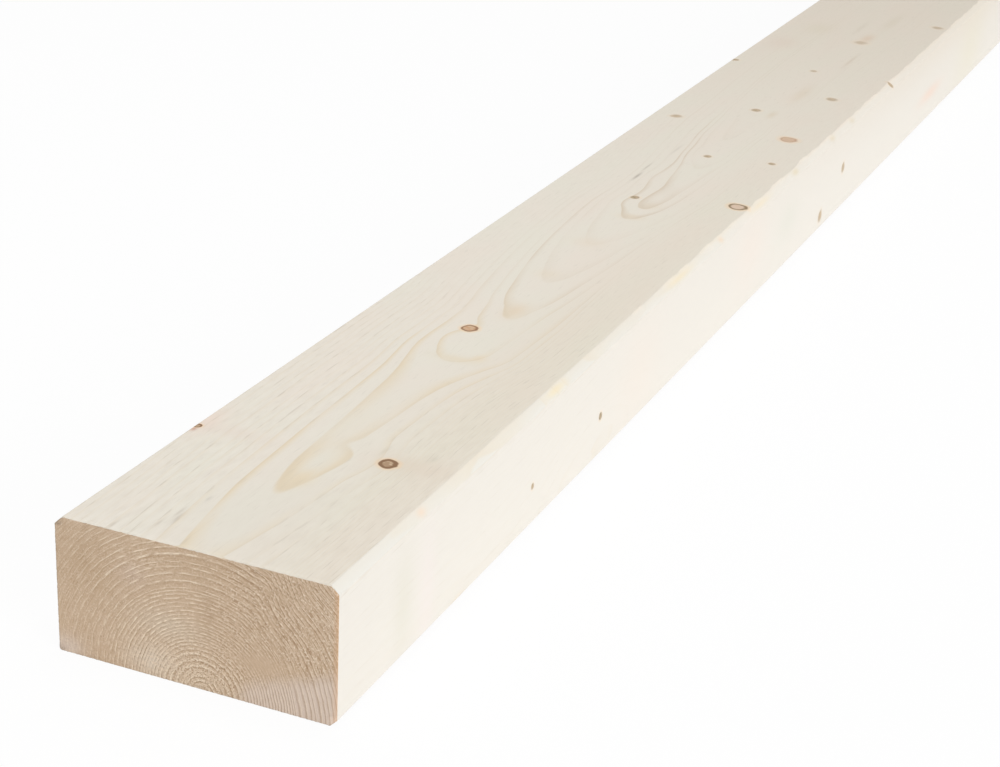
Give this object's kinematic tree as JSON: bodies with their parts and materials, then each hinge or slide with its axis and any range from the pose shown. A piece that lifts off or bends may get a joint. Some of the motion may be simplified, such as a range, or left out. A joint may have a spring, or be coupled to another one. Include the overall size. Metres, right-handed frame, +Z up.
{
  "type": "timber lumber plank",
  "caption": "Long straight planed spruce plank of heavy rectangular section, arrises broken, ends cross-cut square, lying flat.",
  "frame": {"origin": "centre of the lower wide face, under the middle of the plank", "axes": "+Y along the length and the grain, away from the end that the picture shows; +X across the wide face, to the right seen from that end; +Z up through the thickness"},
  "size_m": [0.145, 2.4, 0.07],
  "materials": {
    "planed_spruce": "planed, unfinished"
  },
  "bodies": {
    "root": {"plank": "planed_spruce"}
  },
  "joints": []
}
